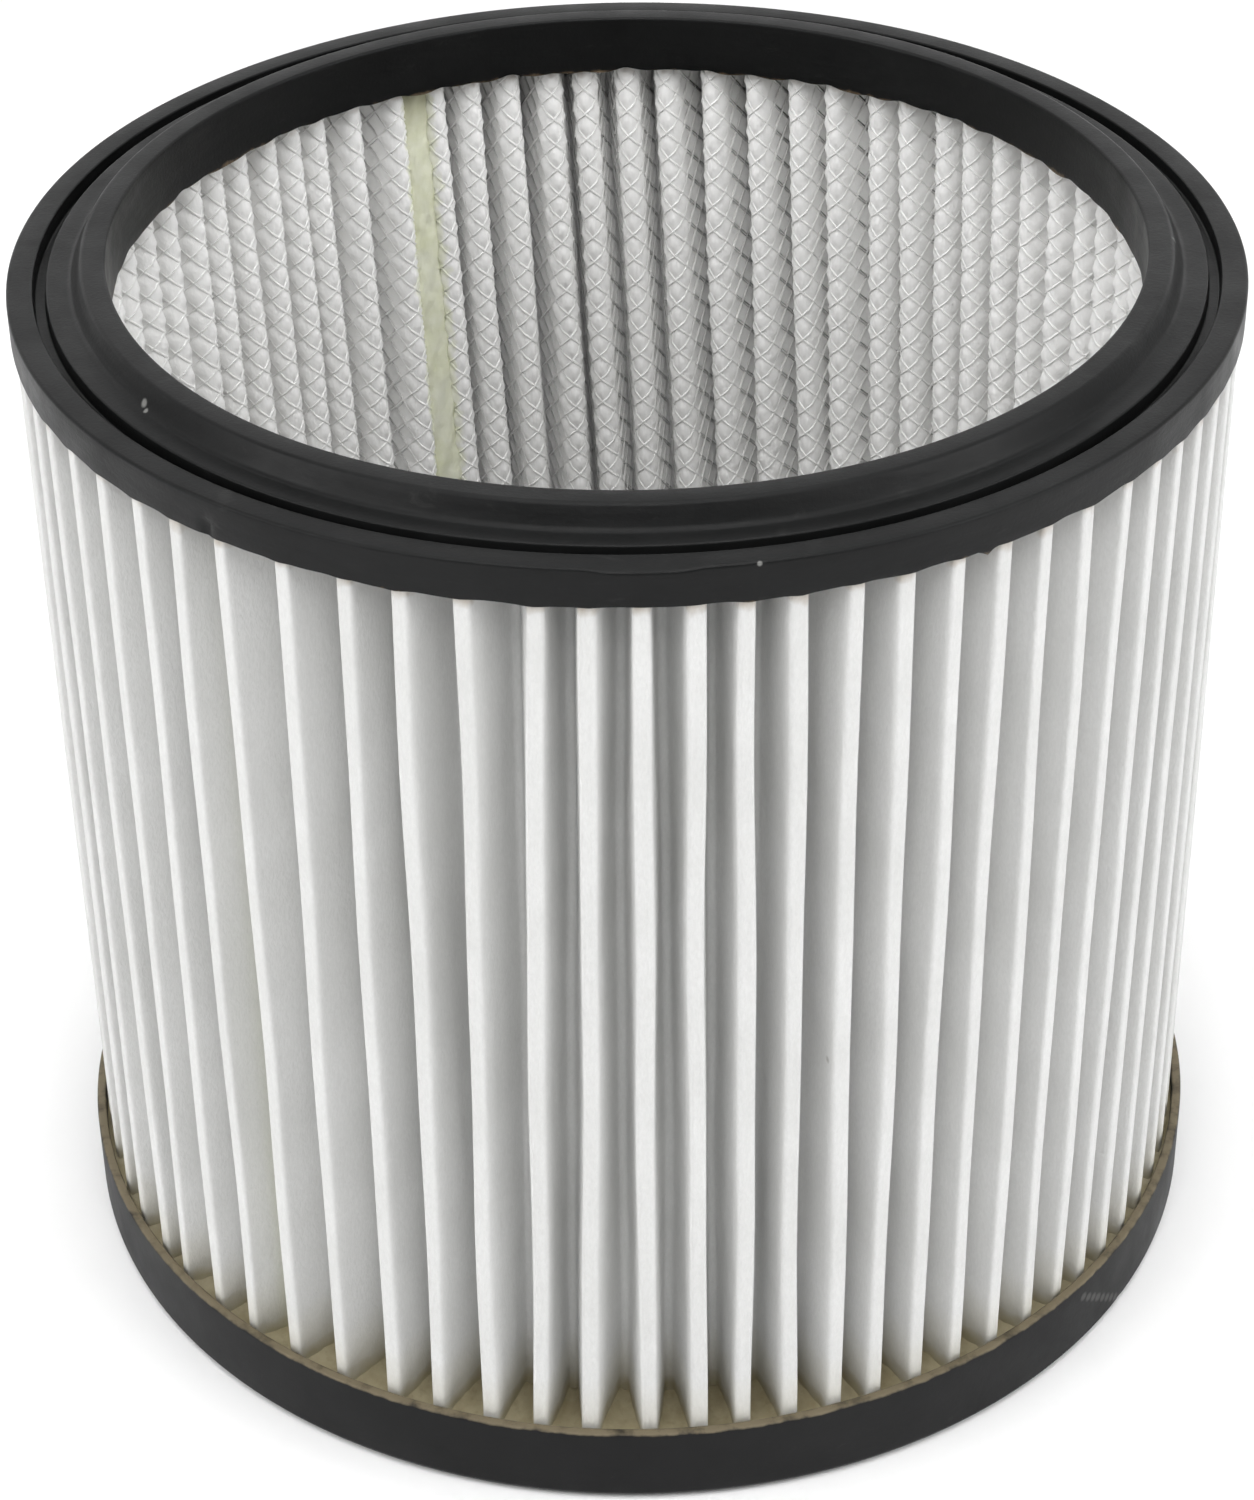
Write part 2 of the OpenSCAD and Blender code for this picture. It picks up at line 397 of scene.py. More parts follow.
# ---------------------------------------------------------------- lathe with a free edge
def lathe(name, profile, seg, warp=None, attrs=None):
    """profile: closed list of (r, z). warp(az_deg, i, r, z) gives changed r and z."""
    prof = np.array(profile, float)
    az = np.linspace(0, 360, seg, endpoint=False)
    A, I = np.meshgrid(az, np.arange(len(prof)), indexing="ij")
    r, z = prof[I, 0], prof[I, 1]
    if warp is not None:
        r, z = warp(A, I, r, z)
    a = np.radians(A)
    co = np.stack([r * np.sin(a), -r * np.cos(a), z], -1).reshape(-1, 3)
    M = len(prof)
    if prof[0, 0] == 0 and prof[-1, 0] == 0:
        # solid through the axis: single points at both ends
        mid = co.reshape(seg, M, 3)[:, 1:-1].reshape(-1, 3)
        m = M - 2
        i = np.arange(seg)
        i1 = (i + 1) % seg
        j = np.arange(m - 1)[None, :]
        q = np.stack([i[:, None] * m + j, i1[:, None] * m + j, i1[:, None] * m + j + 1, i[:, None] * m + j + 1], -1).reshape(-1, 4)
        low, high = len(mid), len(mid) + 1
        f0 = np.stack([i1 * m, i * m, np.full(seg, low)], -1)
        f1 = np.stack([i * m + m - 1, i1 * m + m - 1, np.full(seg, high)], -1)
        return make_mesh(name, np.vstack([mid, [(0, 0, prof[0, 1]), (0, 0, prof[-1, 1])]]), [q, f0, f1], attrs)
    i = np.arange(seg)[:, None]
    j = np.arange(M)[None, :]
    q = np.stack([i * M + j, ((i + 1) % seg) * M + j, ((i + 1) % seg) * M + (j + 1) % M, i * M + (j + 1) % M], -1).reshape(-1, 4)
    return make_mesh(name, co, [q], attrs)


def fillet(points, radii, n=3):
    """Rounds the corners of a closed outline."""
    out = []
    P = [np.array(p, float) for p in points]
    for i, p in enumerate(P):
        a, b = P[i - 1], P[(i + 1) % len(P)]
        r = radii[i]
        u, v = (a - p), (b - p)
        lu, lv = np.linalg.norm(u), np.linalg.norm(v)
        r = min(r, 0.45 * lu, 0.45 * lv)
        if r <= 1e-6:
            out.append(tuple(p))
            continue
        s, e = p + u / lu * r, p + v / lv * r
        for t in np.linspace(0, 1, n + 2):
            out.append(tuple((1 - t) ** 2 * s + 2 * t * (1 - t) * p + t ** 2 * e))
    return out


def subdivide(prof, step):
    out = []
    for i, p in enumerate(prof):
        q = prof[(i + 1) % len(prof)]
        d = math.dist(p, q)
        n = max(1, int(d / step))
        for t in range(n):
            out.append((p[0] + (q[0] - p[0]) * t / n, p[1] + (q[1] - p[1]) * t / n))
    return out


def build_ring():
    pts = [(79.7, 167.4), (95.0, 167.4), (95.0, 173.6), (91.0, 173.6), (90.9, 171.2), (89.1, 171.2), (89.0, 173.6),
           (85.3, 173.6), (83.5, 177.0), (79.7, 177.0)]
    rad = [0.25, 0.3, 0.55, 0.3, 0.35, 0.35, 0.35, 0.7, 0.55, 0.5]
    prof = subdivide(fillet(pts, rad, 3), 1.15)
    seg = 720
    w_out = smooth_noise(seg, 5, [2, 3, 5, 7, 11], 0.05)
    tips = np.mod(A0[0::2] + LEAN[0::2] * 70, 360)
    az = np.linspace(0, 360, seg, endpoint=False)
    g = np.random.default_rng(9)
    near = np.zeros(seg)
    for t, h in zip(tips, g.uniform(0.35, 1.0, N)):
        d = (az - t + 180) % 360 - 180
        near += h * np.exp(-(d / 0.95) ** 2)
    low_out = -0.30 * near + 0.12 + smooth_noise(seg, 11, list(range(20, 60, 3)), 0.09)
    roots = np.mod(A0[1::2] + LEAN[1::2] * 70, 360)
    near_i = np.zeros(seg)
    for t, h in zip(roots, g.uniform(0.2, 1.2, N)):
        d = (az - t + 180) % 360 - 180
        near_i += h * np.exp(-(d / 1.2) ** 2)
    low_in = 0.45 * near_i - 0.35 + smooth_noise(seg, 13, list(range(9, 50, 4)), 0.16)
    low_in = np.clip(low_in, -0.9, 0.7)
    fade = smooth_noise(seg, 15, [2, 3, 4, 5, 7], 0.10)

    def warp(A, I, r, z):
        i = (np.round(A / 360 * seg).astype(int)) % seg
        z0 = z.copy()
        low = np.clip((169.2 - z) / 1.8, 0, 1)
        t = np.clip((r - 79.7) / 15.3, 0, 1)
        z = z + low * (low_in[i] * np.clip(1 - t * 3.2, 0, 1) + low_out[i] * np.clip((t - 0.7) * 3.4, 0, 1))
        # uneven casting: the outer wall and lands are not quite flat
        r = r + np.where(t > 0.9, w_out[i], 0) * np.clip((175 - z0) / 4, 0, 1)
        r = np.minimum(r, 95.0)
        a = (A + 180) % 360 - 180
        z = z + np.where(z0 > 172.5, fade[i] * 0.5 - 0.05, 0)
        # sag of the rim in front, nick, and slight low side at the back right
        sag = (1 / (1 + np.exp(-(a + 2.9) / 0.35))) * (1 / (1 + np.exp((a - 5.0) / 0.5)))
        z = z - 0.55 * sag * np.clip((r - 91) / 4, 0, 1) * (z0 > 172)
        z = z - 0.45 * spot_bump(a, 115, 28) * (z0 > 172)
        r = r - 0.9 * spot_bump(a, -38.1, 0.45) * spot_bump(z0, 168.6, 1.0) * (t > 0.9)
        z = z - 0.9 * spot_bump(a, 30.95, 0.5) * low * (t > 0.9)
        return r, np.minimum(z, 177.0)

    return lathe("cast_ring", prof, seg, warp)


def build_pan():
    pts = [(0.0, 0.0), (95.1, 0.0), (96.5, 1.3), (96.5, 14.4), (94.9, 14.4), (94.9, 1.6), (77.9, 1.6), (77.9, 10.8), (76.5, 10.8), (76.5, 1.6), (0.0, 1.6)]
    rad = [0, 0.5, 0.5, 0.45, 0.4, 0.4, 0.4, 0.3, 0.3, 0.6, 0]
    prof = fillet(pts, rad, 3)
    prof = subdivide(prof, 6.0)
    prof = prof[:max(i for i, p in enumerate(prof) if p == (0.0, 1.6)) + 1]
    seg = 576
    w = smooth_noise(seg, 21, [2, 3, 5], 0.035)

    def warp(A, I, r, z):
        i = (np.round(A / 360 * seg).astype(int)) % seg
        a = (A + 180) % 360 - 180
        r2 = r + np.where(r > 94, w[i] - 0.05, 0)
        line = 49.35 + (56.95 - 49.35) * (11.1 - z) / 9.8
        r2 = r2 - 0.10 * spot_bump(a, line, 0.35) * (r > 96) * (z < 11.6)
        return np.minimum(r2, 96.5), z
    return lathe("tray", prof, seg, warp)


def build_potting(sheet_lines):
    kd = kdtree.KDTree(len(sheet_lines))
    for i, p in enumerate(sheet_lines):
        kd.insert((p.real, p.imag, 0.0), i)
    kd.balance()
    seg = 864
    rr = np.concatenate([[77.9, 78.2, 78.8, 79.8, 80.9], np.linspace(81.8, 94.0, 21), [94.3, 94.6, 94.9]])
    az = np.radians(np.linspace(0, 360, seg, endpoint=False))
    top = np.zeros((len(rr), seg, 3))
    g = np.random.default_rng(31)
    slow = smooth_noise(seg, 33, [3, 5, 8, 13, 21, 34], 0.18)
    fine = g.normal(0, 0.05, (len(rr), seg))
    for i, r in enumerate(rr):
        for j, a in enumerate(az):
            x, y = r * math.sin(a), -r * math.cos(a)
            d = kd.find((x, y, 0.0))[2]
            h = 1.25 * math.exp(-max(0.0, d - 0.35) / 0.55)
            h += 0.9 * math.exp(-(94.9 - r) / 0.5) + 0.4 * math.exp(-(r - 77.9) / 0.6)
            top[i, j] = (x, y, min(12.6, 10.45 + h + slow[j] * 0.6 + fine[i, j]))
    co = [top.reshape(-1, 3)]
    bot = []
    for r in (94.9, 77.9):
        bot.append(np.stack([r * np.sin(az), -r * np.cos(az), np.full(seg, 1.6)], -1))
    nr = len(rr)
    co += bot
    q = [ring_quads(nr, seg)]
    j = np.arange(seg)
    j1 = (j + 1) % seg
    b0, b1 = nr * seg, (nr + 1) * seg
    o = (nr - 1) * seg
    q.append(np.stack([o + j, o + j1, b0 + j1, b0 + j], -1))
    q.append(np.stack([b0 + j, b0 + j1, b1 + j1, b1 + j], -1))
    q.append(np.stack([b1 + j, b1 + j1, j1, j], -1))
    return make_mesh("poured_potting", np.vstack(co), q)


def build_seam():
    k = 52                                          # inner folds 105 and 107 stand on both sides of it
    z = np.arange(10.2, 167.3, 1.2)
    g = np.random.default_rng(41)
    F = Folds(z)
    mid = np.degrees(np.angle(F.tip[:, 53])) + 90   # the outer fold at the seam
    M = len(z)
    n = 11
    left = F.root[:, 52]
    right = F.root[:, 53]
    co = []
    jag_l = np.interp(z, np.arange(8, 170, 2.4), 0.45 * g.normal(size=len(np.arange(8, 170, 2.4))))
    jag_r = np.interp(z, np.arange(8, 170, 2.4), 0.45 * g.normal(size=len(np.arange(8, 170, 2.4))))
    lump = g.normal(0, 0.12, (M, n))
    for i in range(M):
        c = F.tip[i, 53] / abs(F.tip[i, 53])
        t = 1j * c
        gap = abs(right[i] - left[i])
        hl = gap / 2 - 1.35 + 0.55 * jag_l[i]
        hr = gap / 2 - 1.35 + 0.55 * jag_r[i]
        row = []
        for m in range(n):
            f = m / (n - 1) * 2 - 1
            x = f * (hl if f < 0 else hr)
            rad = 82.75 + 0.55 * (1 - f * f) * -1 * 0.4 + 0.5 * abs(f) ** 3 + lump[i, m] + 0.18 * math.sin(z[i] / 1.9 + m)
            row.append((c * rad + t * x, z[i]))
        for f in (0.9, 0.3, -0.3, -0.9):
            row.append((c * 85.1 + t * f * (gap / 2 - 1.9), z[i]))
        co += [(p.real, p.imag, zz) for p, zz in row]
    cols = n + 4
    q = [ring_quads(M, cols)]
    caps = [np.array([[0, m, m + 1] for m in range(1, cols - 1)])[:, ::-1], (M - 1) * cols + np.array([[0, m, m + 1] for m in range(1, cols - 1)])]
    return make_mesh("seam_bead", np.array(co), q + caps)


# ---------------------------------------------------------------- materials
class Mat:
    def __init__(self, name):
        self.m = bpy.data.materials.new(name)
        self.m.use_nodes = True
        self.t = self.m.node_tree
        self.t.nodes.clear()
        self.out = self.t.nodes.new("ShaderNodeOutputMaterial")
        self.b = self.t.nodes.new("ShaderNodeBsdfPrincipled")
        self.t.links.new(self.b.outputs[0], self.out.inputs[0])
        self.tc = self.t.nodes.new("ShaderNodeTexCoord")

    def link(self, a, b):
        self.t.links.new(a, b)

    def put(self, sock, v):
        if hasattr(v, "is_output"):
            self.link(v, sock)
        else:
            sock.default_value = v

    def mapping(self, scale=(1, 1, 1), rot=(0, 0, 0), src=None):
        n = self.t.nodes.new("ShaderNodeMapping")
        self.link(src or self.tc.outputs["Object"], n.inputs["Vector"])
        n.inputs["Scale"].default_value = scale
        n.inputs["Rotation"].default_value = rot
        return n.outputs[0]

    def noise(self, scale, detail=3, rough=0.55, vec=None, distort=0.0):
        n = self.t.nodes.new("ShaderNodeTexNoise")
        self.link(vec or self.tc.outputs["Object"], n.inputs["Vector"])
        n.inputs["Scale"].default_value = scale
        n.inputs["Detail"].default_value = detail
        n.inputs["Roughness"].default_value = rough
        n.inputs["Distortion"].default_value = distort
        return n.outputs["Fac"]

    def voronoi(self, scale, vec=None, feature="F1"):
        n = self.t.nodes.new("ShaderNodeTexVoronoi")
        n.feature = feature
        self.link(vec or self.tc.outputs["Object"], n.inputs["Vector"])
        n.inputs["Scale"].default_value = scale
        return n.outputs["Distance"]

    def remap(self, v, a, b, c, d):
        n = self.t.nodes.new("ShaderNodeMapRange")
        self.put(n.inputs[0], v)
        for i, x in enumerate((a, b, c, d)):
            n.inputs[i + 1].default_value = x
        return n.outputs[0]

    def math(self, op, a, b=0.0):
        n = self.t.nodes.new("ShaderNodeMath")
        n.operation = op
        self.put(n.inputs[0], a)
        self.put(n.inputs[1], b)
        return n.outputs[0]

    def mix(self, f, a, b):
        n = self.t.nodes.new("ShaderNodeMix")
        n.data_type = "RGBA"
        self.put(n.inputs[0], f)
        self.put(n.inputs[6], a if hasattr(a, "is_output") else (*a, 1))
        self.put(n.inputs[7], b if hasattr(b, "is_output") else (*b, 1))
        return n.outputs[2]

    def attr(self, name):
        n = self.t.nodes.new("ShaderNodeAttribute")
        n.attribute_name = name
        return n.outputs["Fac"]

    def xyz(self):
        n = self.t.nodes.new("ShaderNodeSeparateXYZ")
        self.link(self.tc.outputs["Object"], n.inputs[0])
        return n.outputs

    def spot(self, az, r, z, size, rag=0.4):
        """Mask of a small mark at a place on the object."""
        a = math.radians(az)
        n = self.t.nodes.new("ShaderNodeVectorMath")
        n.operation = "DISTANCE"
        self.link(self.tc.outputs["Object"], n.inputs[0])
        n.inputs[1].default_value = (r * math.sin(a) / 1000, -r * math.cos(a) / 1000, z / 1000)
        return self.remap(n.outputs["Value"], size * 0.0005, size * 0.001, 1, 0)

    def bump(self, h, strength, dist, normal=None):
        n = self.t.nodes.new("ShaderNodeBump")
        n.inputs["Strength"].default_value = strength
        n.inputs["Distance"].default_value = dist
        self.link(h, n.inputs["Height"])
        if normal is not None:
            self.link(normal, n.inputs["Normal"])
        return n.outputs[0]

    def set(self, **kw):
        for key, v in kw.items():
            self.put(self.b.inputs[key.replace("_", " ")], v if not isinstance(v, tuple) else (*v, 1))


def seam_mask(m):
    """1 near the glued seam inside, which leans with the folds."""
    x, y, z = m.xyz()[0], m.xyz()[1], m.xyz()[2]
    ang = m.math("ARCTAN2", x, m.math("MULTIPLY", y, -1.0))           # from the front, to the right
    ang = m.math("MULTIPLY", ang, 180 / math.pi)
    want = m.math("ADD", m.math("MULTIPLY", z, 29.4), 204.95 - 360 - 0.132 * 29.4)
    d = m.math("ABSOLUTE", m.math("SUBTRACT", ang, want))
    rag = m.noise(330, 1.5, 0.6)
    d = m.math("ADD", d, m.math("MULTIPLY", m.math("SUBTRACT", rag, 0.5), 3.2))
    return m.remap(d, 1.5, 2.2, 1, 0)


def mat_fleece():
    m = Mat("fleece_white")
    z = m.xyz()[2]
    inside = m.attr("inside")
    tone = m.noise(55, 2, 0.6)
    base = m.mix(m.remap(tone, 0.3, 0.7, 0, 1), FLEECE_A, FLEECE_B)
    fib = m.noise(2600, 1.5, 0.65, m.mapping((1, 1, 0.35)), 0.6)
    base = m.mix(m.remap(fib, 0.35, 0.65, 0.0, 0.22), base, (0.52, 0.522, 0.51))
    # painted light: the inner face of the same fleece gets a much lighter colour than the outer face, standing in
    # for the light that fills the tube
    base = m.mix(inside, base, m.mix(m.remap(tone, 0.3, 0.7, 0, 1), INNER_PAINTED_LIGHT_A, INNER_PAINTED_LIGHT_B))
    # glue drawn up from the potting just above it; higher, up to 24 mm, a darker yellowish tint towards the bottom
    wick = m.math("ADD", z, m.math("MULTIPLY", m.math("SUBTRACT", m.noise(260, 1.5, 0.6), 0.5), 0.0040))
    foot = m.remap(wick, 0.0118, 0.0145, 1, 0)
    base = m.mix(foot, base, (0.36, 0.31, 0.19))
    foot2 = m.remap(wick, 0.012, 0.024, 0.5, 0)
    base = m.mix(foot2, base, (0.52, 0.49, 0.38))
    # rubber flash where the ring meets the pleats, and painted shade in the band just under the ring
    flash_and_shade_z = m.math("ADD", z, m.math("MULTIPLY", m.math("SUBTRACT", m.noise(420, 1, 0.6), 0.5), 0.0030))
    base = m.mix(m.remap(flash_and_shade_z, 0.1655, 0.1672, 0, 0.55), base, (0.30, 0.23, 0.15))
    # yellowish glue that shows through beside one fold
    st = m.attr("stain")
    st = m.math("MULTIPLY", m.remap(st, 0.25, 0.95, 0, 1), m.remap(z, 0.015, 0.150, 0.60, 0.12))
    st = m.math("MULTIPLY", st, m.remap(tone, 0.3, 0.6, 0.5, 1))
    base = m.mix(st, base, (0.66, 0.67, 0.42))
    base = m.mix(m.math("MULTIPLY", m.math("MULTIPLY", seam_mask(m), inside), 0.6), base, (0.84, 0.855, 0.66))
    for az, r, zz, s in ((-28.8, 92.4, 124.7, 1.1), (-32.7, 92.0, 143.3, 0.9), (-26.25, 92.0, 25.7, 1.0), (17.5, 92.0, 83, 0.9), (-28.2, 92.0, 122.8, 0.7)):
        base = m.mix(m.math("MULTIPLY", m.spot(az, r, zz, s), 0.60), base, (0.24, 0.23, 0.20))
    m.set(Base_Color=base)
    m.b.inputs["Roughness"].default_value = 0.92
    m.b.inputs["Specular IOR Level"].default_value = 0.18
    m.b.inputs["Sheen Weight"].default_value = 0.0
    m.b.inputs["Subsurface Weight"].default_value = 0.0
    h = m.math("ADD", m.math("MULTIPLY", fib, 0.6), m.math("MULTIPLY", m.noise(800, 1, 0.6), 0.9))
    m.link(m.bump(h, 0.42, 0.00025), m.b.inputs["Normal"])
    return m.m


def mat_net():
    m = Mat("net_white")
    tone = m.noise(240, 3, 0.6)
    base = m.mix(m.remap(tone, 0.35, 0.65, 0, 1), NET_A_COL, NET_B_COL)
    base = m.mix(m.math("MULTIPLY", seam_mask(m), 0.6), base, (0.78, 0.80, 0.60))
    z = m.xyz()[2]
    base = m.mix(m.remap(z, 0.0118, 0.0135, 0.9, 0), base, (0.40, 0.34, 0.20))
    m.set(Base_Color=base)
    m.b.inputs["Roughness"].default_value = 0.42
    m.b.inputs["Specular IOR Level"].default_value = 0.4
    m.link(m.bump(m.noise(1500, 2, 0.5), 0.25, 0.0001), m.b.inputs["Normal"])
    return m.m


def mat_black(name, dark, light, rough, spec, grain, marks=True):
    m = Mat(name)
    tone = m.noise(38, 4, 0.6)
    base = m.mix(m.remap(tone, 0.3, 0.7, 0, 1), dark, light)
    x, y, z = m.xyz()[0], m.xyz()[1], m.xyz()[2]
    # dust and rub marks
    rub = m.noise(170, 5, 0.7, m.mapping((1, 1, 3.0)), 0.8)
    base = m.mix(m.remap(rub, 0.62, 0.78, 0, 0.22), base, (0.06, 0.06, 0.058))
    if marks:
        for az, r, zz, s in ((-54.7, 85.0, 174.4, 0.8), (-53.9, 85.4, 173.8, 0.5), (10.4, 94.9, 173.2, 0.45), (85.7, 83.4, 176.0, 0.8)):
            base = m.mix(m.math("MULTIPLY", m.spot(az, r, zz, s), 0.40), base, (0.42, 0.42, 0.40))
        # thin tan flash where the ring meets the pleats
        fl = m.math("ADD", z, m.math("MULTIPLY", m.math("SUBTRACT", m.noise(520, 3, 0.6), 0.5), 0.0016))
        base = m.mix(m.remap(fl, 0.1668, 0.16745, 0.75, 0), base, (0.22, 0.16, 0.10))
    m.set(Base_Color=base)
    m.set(Roughness=m.remap(m.noise(90, 4, 0.65), 0.3, 0.7, rough - 0.07, rough + 0.09))
    m.b.inputs["Specular IOR Level"].default_value = spec
    h = m.math("ADD", m.math("MULTIPLY", m.noise(grain, 3, 0.6), 0.6), m.math("MULTIPLY", m.noise(130, 3, 0.5, m.mapping((1, 1, 5.0))), 1.4))
    m.link(m.bump(h, 0.22, 0.00025), m.b.inputs["Normal"])
    return m.m


def mat_pan():
    m = Mat("pan_black")
    z = m.xyz()[2]
    tone = m.noise(30, 4, 0.6)
    base = m.mix(m.remap(tone, 0.3, 0.7, 0, 1), (0.005, 0.005, 0.0052), (0.009, 0.009, 0.0092))
    rub = m.noise(210, 5, 0.7, m.mapping((1, 1, 2.0)), 0.6)
    base = m.mix(m.remap(rub, 0.64, 0.8, 0, 0.25), base, (0.06, 0.06, 0.058))
    # worn foot and a thin line of dried glue along the rim
    base = m.mix(m.remap(z, 0.0010, 0.0018, 0.55, 0), base, (0.13, 0.13, 0.13))
    rim = m.math("ADD", z, m.math("MULTIPLY", m.math("SUBTRACT", m.noise(330, 3, 0.6), 0.5), 0.0010))
    base = m.mix(m.remap(rim, 0.01405, 0.0144, 0, 0.65), base, (0.24, 0.20, 0.13))
    for t in np.linspace(0, 1, 9):
        base = m.mix(m.math("MULTIPLY", m.spot(49.35 + 7.6 * t, 96.4, 11.1 - 9.8 * t, 1.0), 0.30), base, (0.20, 0.20, 0.19))
    m.set(Base_Color=base)
    m.set(Roughness=m.remap(m.noise(70, 4, 0.65), 0.3, 0.7, 0.42, 0.56))
    m.b.inputs["Specular IOR Level"].default_value = 0.17
    h = m.math("ADD", m.math("MULTIPLY", m.noise(1400, 3, 0.6), 0.5), m.math("MULTIPLY", m.noise(110, 3, 0.5), 1.0))
    m.link(m.bump(h, 0.2, 0.0002), m.b.inputs["Normal"])
    return m.m


def mat_potting():
    m = Mat("potting_tan")
    tone = m.noise(120, 5, 0.65)
    base = m.mix(m.remap(tone, 0.3, 0.7, 0, 1), (0.30, 0.255, 0.150), (0.44, 0.39, 0.26))
    base = m.mix(m.remap(m.noise(500, 3, 0.6), 0.55, 0.75, 0, 0.4), base, (0.20, 0.17, 0.10))
    m.set(Base_Color=base)
    m.set(Roughness=m.remap(m.noise(200, 3, 0.6), 0.3, 0.7, 0.38, 0.62))
    m.b.inputs["Specular IOR Level"].default_value = 0.4
    m.b.inputs["Subsurface Weight"].default_value = 0.0
    m.link(m.bump(m.noise(420, 4, 0.6), 0.35, 0.0004), m.b.inputs["Normal"])
    return m.m


def mat_seam():
    m = Mat("seam_yellow")
    tone = m.noise(200, 4, 0.65)
    base = m.mix(m.remap(tone, 0.3, 0.7, 0, 1), (0.74, 0.76, 0.54), (0.84, 0.85, 0.70))
    z = m.xyz()[2]
    # painted shadow: the seam turns dark olive towards the top, under the ring's edge
    base = m.mix(m.remap(z, 0.158, 0.1665, 0, 0.75), base, (0.26, 0.25, 0.13))
    base = m.mix(m.remap(m.noise(90, 3, 0.6), 0.5, 0.7, 0, 0.5), base, (0.86, 0.87, 0.78))
    m.set(Base_Color=base)
    m.b.inputs["Roughness"].default_value = 0.45
    m.b.inputs["Specular IOR Level"].default_value = 0.4
    m.link(m.bump(m.noise(600, 3, 0.6), 0.4, 0.0003), m.b.inputs["Normal"])
    return m.m


FLEECE_A, FLEECE_B = (0.655, 0.655, 0.645), (0.705, 0.705, 0.698)
# the inner face's colours are set far lighter than the outer face's, as painted light for the inside of the tube
INNER_PAINTED_LIGHT_A, INNER_PAINTED_LIGHT_B = (0.93, 0.928, 0.918), (0.955, 0.953, 0.945)
NET_A_COL, NET_B_COL = (0.84, 0.838, 0.825), (0.89, 0.888, 0.875)

sheet = build_medium()
net = build_net()
ring = build_ring()
pan = build_pan()
Fz = Folds(np.array([11.0]))
lines = []
for k in range(N):
    for f in np.linspace(0, 1, 24):
        lines.append(Fz.tip[0, k] + 0.9 * Fz.nr[0, k] + f * (Fz.root[0, k] - 1.2 * Fz.nr[0, k] - Fz.tip[0, k] - 0.9 * Fz.nr[0, k]))
        k1 = (k + 1) % N
        lines.append(Fz.root[0, k] - 1.2 * Fz.nl[0, k1] + f * (Fz.tip[0, k1] + 0.9 * Fz.nl[0, k1] - Fz.root[0, k] + 1.2 * Fz.nl[0, k1]))
    for f in np.linspace(0, 1, 7):
        lines.append(Fz.tip[0, k] + 0.9 * Fz.nl[0, k] * np.exp(1j * f * np.angle(Fz.nr[0, k] / Fz.nl[0, k])))
potting = build_potting(lines)
seam = build_seam()

for ob, node, slot, mat in ((sheet, "filter_medium", "fleece", mat_fleece()), (net, "support_net", "net_plastic", mat_net()),
                            (ring, "top_ring", "ring_rubber", mat_black("ring_black", (0.0042, 0.0044, 0.0044), (0.0075, 0.0078, 0.0078), 0.40, 0.17, 1700)),
                            (pan, "bottom_pan", "pan_plastic", mat_pan()), (potting, "bottom_potting", "potting", mat_potting()),
                            (seam, "seam_glue", "seam", mat_seam())):
    ob.data.materials.append(mat)
    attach(ob, "root")
    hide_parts(node)

# ---------------------------------------------------------------- floor, light and camera
fl = make_mesh("floor", [(-2500, -2500, -0.0), (2500, -2500, 0), (2500, 2500, 0), (-2500, 2500, 0)], [np.array([[0, 1, 2, 3]])], smooth=False)
fm = Mat("pale_floor")
fm.set(Base_Color=fm.mix(fm.remap(fm.noise(3, 2), 0.3, 0.7, 0, 1), (0.88, 0.88, 0.88), (0.90, 0.90, 0.90)))
fm.b.inputs["Roughness"].default_value = 0.9
fm.b.inputs["Specular IOR Level"].default_value = 0.1
fl.data.materials.append(fm.m)

world = bpy.data.worlds.new("studio")
scene.world = world
world.use_nodes = True
wt = world.node_tree
bg = wt.nodes["Background"]
tc = wt.nodes.new("ShaderNodeTexCoord")
sep = wt.nodes.new("ShaderNodeSeparateXYZ")
wt.links.new(tc.outputs["Generated"], sep.inputs[0])


def wmap(v, a, b, c, d):
    n = wt.nodes.new("ShaderNodeMapRange")
    n.interpolation_type = "SMOOTHSTEP"
    wt.links.new(v, n.inputs[0])
    for i, x in enumerate((a, b, c, d)):
        n.inputs[i + 1].default_value = x
    return n.outputs[0]


def wmath(op, a, b):
    n = wt.nodes.new("ShaderNodeMath")
    n.operation = op
    for s, v in ((n.inputs[0], a), (n.inputs[1], b)):
        if hasattr(v, "is_output"):
            wt.links.new(v, s)
        else:
            s.default_value = v
    return n.outputs[0]


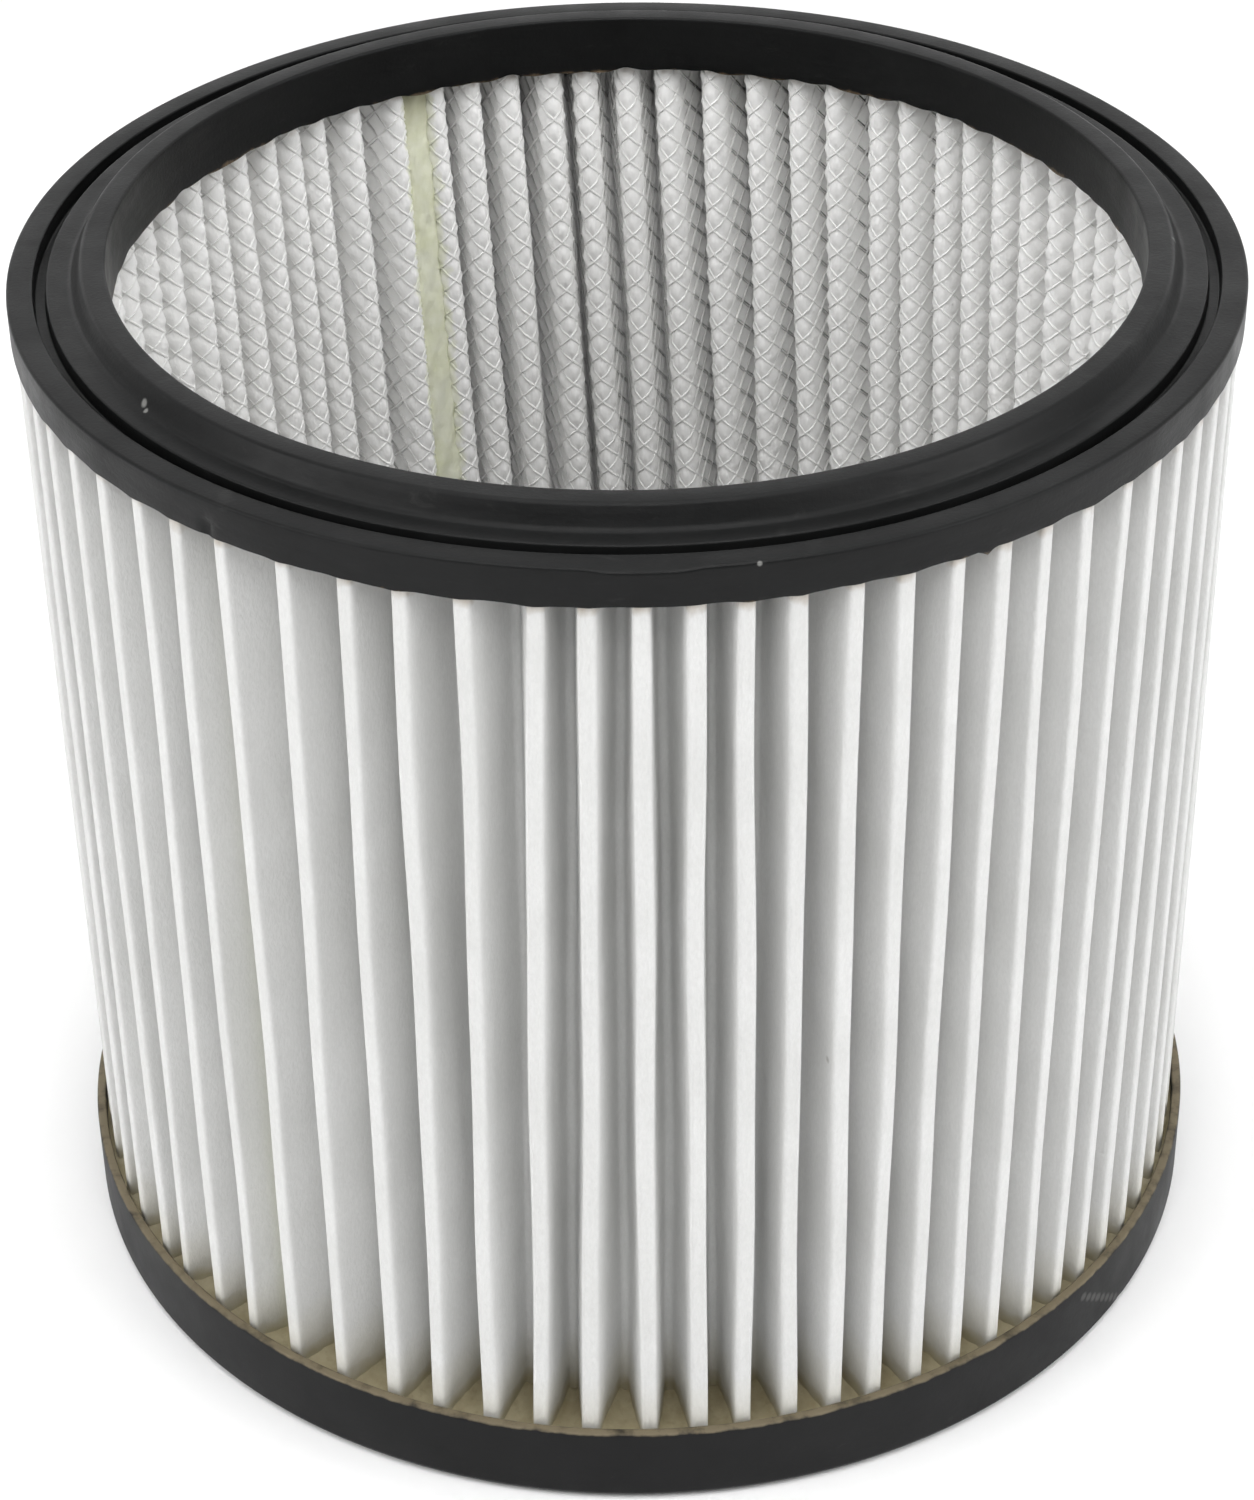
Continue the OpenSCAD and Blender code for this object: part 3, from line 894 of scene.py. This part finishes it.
back = wmap(sep.outputs[1], -0.2, 0.75, 0.0, 1.0)
low = wmap(sep.outputs[2], 0.40, 0.78, 1.0, 0.30)
lvl = wmath("ADD", 0.22, wmath("MULTIPLY", wmath("MULTIPLY", back, low), 0.95))
top = wmap(sep.outputs[2], 0.75, 0.97, 0.0, 0.95)
lvl = wmath("ADD", lvl, top)
wt.links.new(lvl, bg.inputs[1])
bg.inputs[0].default_value = (1, 1, 1, 1)


def area(name, az, el, dist, size, power, target=(0, 0, 0.09)):
    d = bpy.data.lights.new(name, "AREA")
    d.shape = "RECTANGLE"
    d.size, d.size_y = size
    d.energy = power
    o = bpy.data.objects.new(name, d)
    scene.collection.objects.link(o)
    a, e = math.radians(az), math.radians(el)
    p = Vector(target) + dist * Vector((math.sin(a) * math.cos(e), -math.cos(a) * math.cos(e), math.sin(e)))
    o.location = p
    o.rotation_euler = (Vector(target) - p).to_track_quat("-Z", "Y").to_euler()
    return o


area("box_left", -64, 30, 1.3, (0.9, 0.9), 8.0)
area("box_right", 65, 30, 1.3, (0.9, 0.9), 8.0)
area("box_top", 180, 80, 1.4, (1.0, 1.0), 4.0)
area("box_front_top", 0, 58, 1.4, (0.8, 0.8), 7.5)

th, yaw, roll = math.radians(34.6), math.radians(-0.13), math.radians(-0.90)
fw = Vector((math.sin(yaw) * math.cos(th), math.cos(yaw) * math.cos(th), -math.sin(th)))
rt = Vector((math.cos(yaw), -math.sin(yaw), 0))
up = rt.cross(fw)
c, s = math.cos(roll), math.sin(roll)
X = c * rt + s * up
Y = -s * rt + c * up
cam_data = bpy.data.cameras.new("cam")
cam = bpy.data.objects.new("cam", cam_data)
scene.collection.objects.link(cam)
M = Matrix((X, Y, -fw)).transposed().to_4x4()
M.translation = Vector((0, -0.50150, 0.42495))
cam.matrix_world = M
cam_data.lens = 86.4
cam_data.sensor_width = 36
scene.camera = cam

scene.view_settings.view_transform = "Standard"
scene.view_settings.look = "None"
scene.cycles.use_denoising = True
scene.cycles.max_bounces = 7
scene.cycles.diffuse_bounces = 6
scene.cycles.use_adaptive_sampling = True
scene.cycles.adaptive_threshold = 0.06
scene.cycles.adaptive_min_samples = 12
scene.cycles.glossy_bounces = 2
